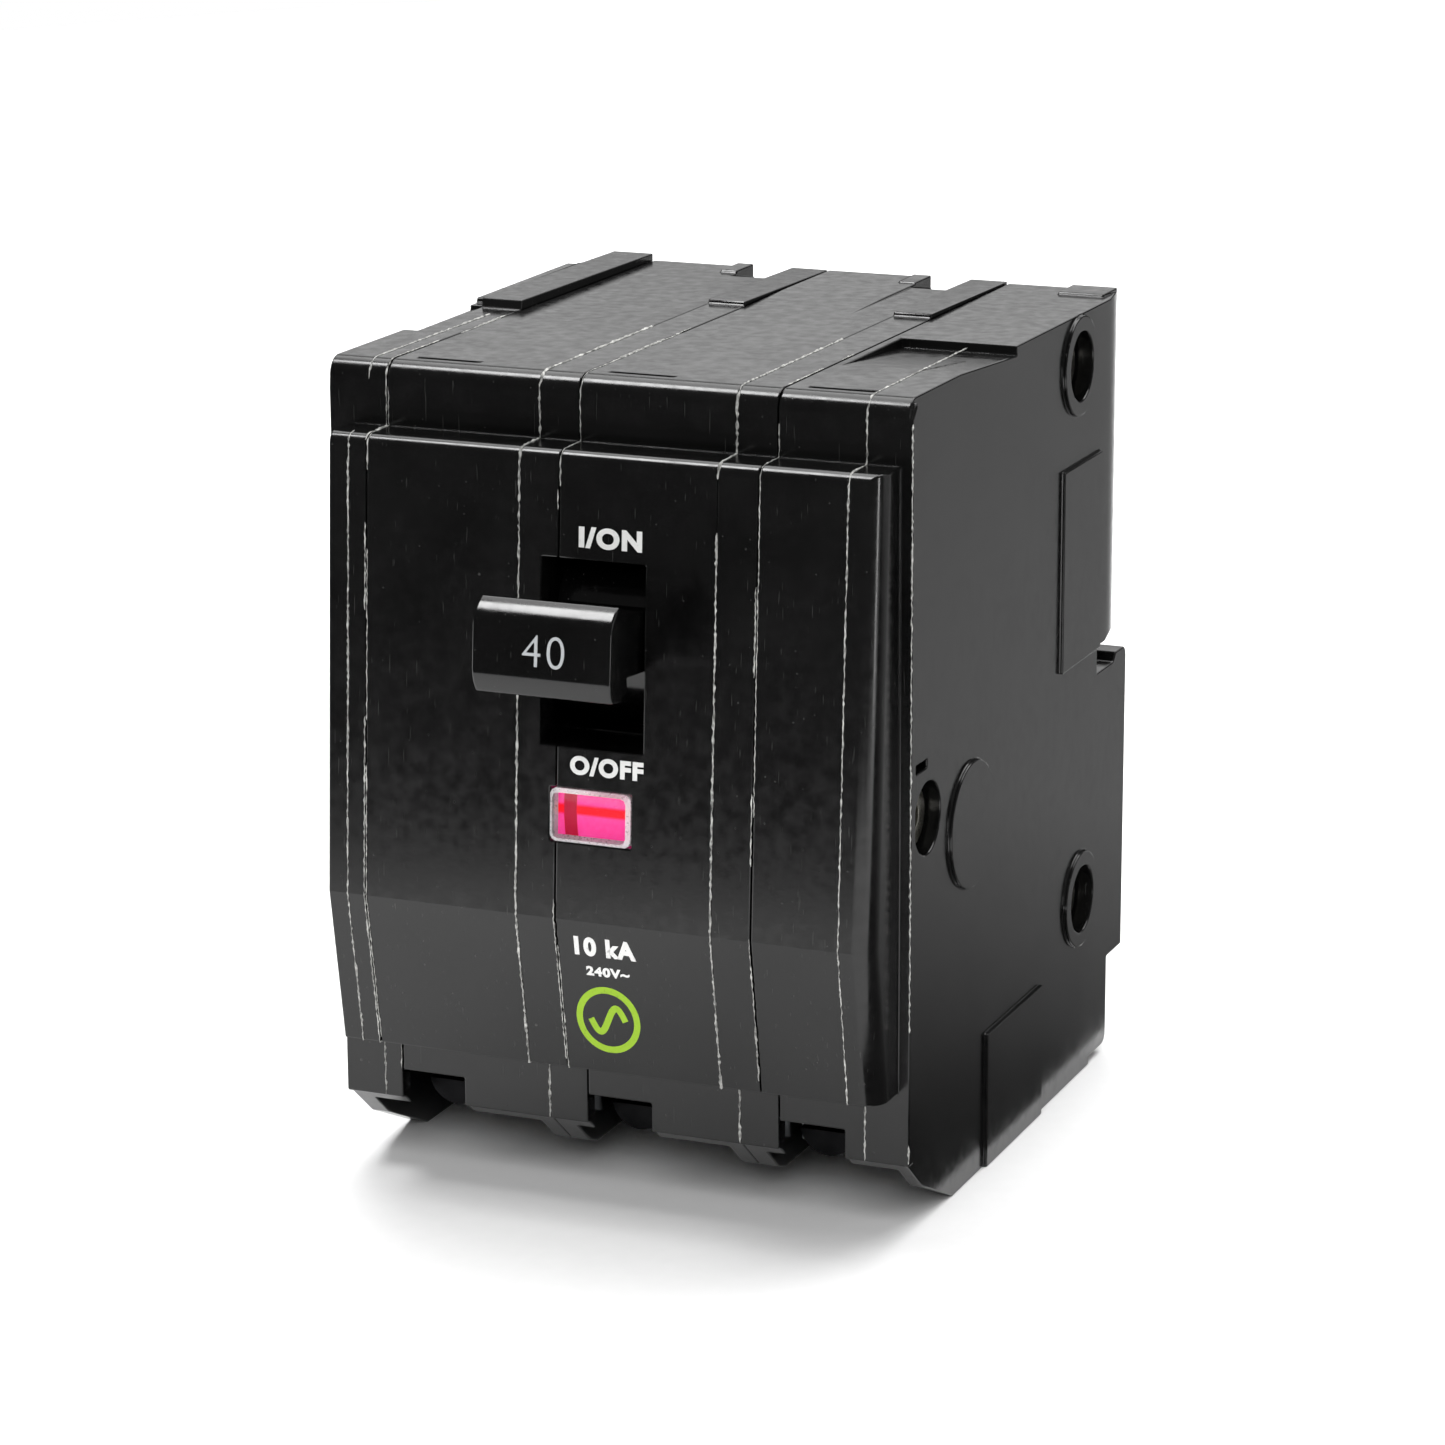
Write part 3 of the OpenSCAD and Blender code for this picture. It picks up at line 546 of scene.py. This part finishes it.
def seam_route(skip=()):
    """The case's skin from the top, down its front, to the underside, as (depth, height) places."""
    curl = [(BAND_ROUND * (1 - math.sin(a)), BAND_HEIGHT - BAND_ROUND * (1 - math.cos(a)))
            for a in (0.0, 0.4, 0.8, 1.2, 1.57)]
    brow = nose_y(NOSE_FACE_TOP_Z)
    fold = [(brow + NOSE_ROUND * (1 - math.sin(a)), NOSE_TOP_Z - NOSE_ROUND * (1 - math.cos(a)))
            for a in (0.0, 0.5, 1.0, 1.57)]
    skin = [(FLASH_TOP_REACH, top_z(FLASH_TOP_REACH))] + curl + [(0, NOSE_TOP_Z)] + fold
    skin += [(-NOSE_CREST_REACH, NOSE_CREST_Z), (-NOSE_LOW_REACH, NOSE_LOW_Z), (0, NOSE_LOW_Z), (0, 0.1)]
    route = [(y - FLASH_LIFT, z + (FLASH_LIFT if z > NOSE_TOP_Z - 0.5 else 0))
             for y, z in walk(skin, FLASH_STEP)]
    return [p for p in route if not any(p[0] < -1 and low < p[1] < high for low, high in skip)]


def torn_line(name, x, route, width, unbroken, seed):
    """Flash along a seam: an uneven line that is torn off here and there."""
    chance = random.Random(seed)
    curve = bpy.data.curves.new(name, "CURVE")
    curve.dimensions = "3D"
    curve.bevel_depth = width / 2 * MM
    curve.bevel_resolution = 0
    curve.use_fill_caps = True
    start = 0
    while start < len(route) - 3:
        end = min(len(route), start + chance.randint(6, 40))
        run = route[start:end]
        whole = all((Vector(b) - Vector(a)).length < 1 for a, b in zip(run, run[1:]))
        if whole and len(run) > 2 and chance.random() < unbroken:
            line = curve.splines.new("POLY")
            line.points.add(len(run) - 1)
            for i, (point, (y, z)) in enumerate(zip(line.points, run)):
                point.co = at(x + chance.uniform(-0.045, 0.045), y, z).to_4d()
                taper = 0.35 if i in (0, len(run) - 1) else 1.0
                point.radius = taper * chance.choice((0.45, 0.7, 0.9, 1.0, 1.25, 1.6))
        start = end - 1
    piece = bpy.data.objects.new(name, curve)
    bpy.context.scene.collection.objects.link(piece)
    select_only(piece)
    bpy.ops.object.convert(target="MESH")
    return hand_over(bpy.context.object, FLASH_AND_HIGHLIGHT, "case")


torn_line("flash_first_cover", FIRST_COVER_SEAM_X, seam_route(), 0.16, 0.96, 11)
edge_route = [(-FLASH_LIFT, FLASH_STEP * i) for i in range(FLASH_EDGE_STEPS, 0, -1)]
torn_line("flash_right_edge", right_of("base_3") - 0.05, edge_route, 0.13, 0.6, 13)
torn_line("flash_last_base", LAST_BASE_SEAM_X, seam_route(), 0.15, 0.95, 12)
for k in POLES:
    gap = left_of(f"base_{k}")
    route = seam_route(SLOT_AND_WINDOW if k == 2 else ())
    torn_line(f"flash_joint_left_{k}", gap - SEAM_GAP - 0.04, route, 0.12, 0.62, 20 + k)
    torn_line(f"flash_joint_right_{k}", gap + 0.05, route, 0.1, 0.4, 30 + k)
    if k > 1:
        torn_line(f"flash_cover_{k}", left_of(f"cover_{k}") + 0.03, seam_route(), 0.2, 0.98, 40 + k)


# ---------------------------------------------------------------- printing
def lay_on(piece, box, depth_at, thick):
    """Fits a flat piece drawn in XY into a rectangle on a face of the breaker."""
    left, right, low, high = box
    spots = [vertex.co.copy() for vertex in piece.data.vertices]
    u = min(s.x for s in spots), max(s.x for s in spots)
    v = min(s.y for s in spots), max(s.y for s in spots)
    w = max(s.z for s in spots)
    for vertex, s in zip(piece.data.vertices, spots):
        x = left + (s.x - u[0]) / (u[1] - u[0]) * (right - left)
        z = low + (s.y - v[0]) / (v[1] - v[0]) * (high - low)
        vertex.co = at(x, depth_at(z) - thick * s.z / w, z)
    return piece


def printed(name, words, box, film, body="case", depth_at=nose_y, bold=0.05):
    """A pad-printed legend, a few hundredths of a millimetre thick."""
    bpy.ops.object.text_add()
    text = bpy.context.object
    text.name = name
    text.data.body = words
    text.data.offset = bold
    text.data.extrude = 0.01
    text.data.space_character = 1.14
    select_only(text)
    bpy.ops.object.convert(target="MESH")
    return hand_over(lay_on(bpy.context.object, box, depth_at, PRINT_THICKNESS), film, body)


printed("print_on", "I/ON", (27.13, 33.3, 56.5, 58.43), WHITE_INK)
printed("print_off", "O/OFF", (26.53, 33.75, 35.7, 37.46), WHITE_INK)
printed("print_capacity", "10 kA", (26.9, 33.0, 18.7, 20.6), WHITE_INK)
printed("print_voltage", "240V~", (27.9, 32.2, 16.75, 17.7), WHITE_INK)
printed("print_rating", "40", (26.8, 30.85, 48.3, 51.15), GREY_INK, "handle", cap_y, bold=-0.012)


def green_mark():
    """A plain round mark: a ring round one wave of alternating current."""
    bpy.ops.mesh.primitive_torus_add(major_radius=1.0, minor_radius=0.11, major_segments=64, minor_segments=8)
    ring = bpy.context.object
    wave = bpy.data.curves.new("wave", "CURVE")
    wave.dimensions = "3D"
    wave.bevel_depth = 0.11
    wave.bevel_resolution = 1
    wave.use_fill_caps = True
    line = wave.splines.new("POLY")
    line.points.add(32)
    for i, point in enumerate(line.points):
        u = -0.6 + 1.2 * i / 32
        point.co = (u, 0.42 * math.sin(math.pi * u / 0.6), 0, 1)
    swing = bpy.data.objects.new("wave", wave)
    bpy.context.scene.collection.objects.link(swing)
    select_only(swing)
    bpy.ops.object.convert(target="MESH")
    ring.select_set(True)
    bpy.context.view_layer.objects.active = ring
    bpy.ops.object.join()
    ring.name = "print_green_mark"
    return hand_over(lay_on(ring, MARK_BOX, nose_y, PRINT_THICKNESS), GREEN_INK, "case")


green_mark()
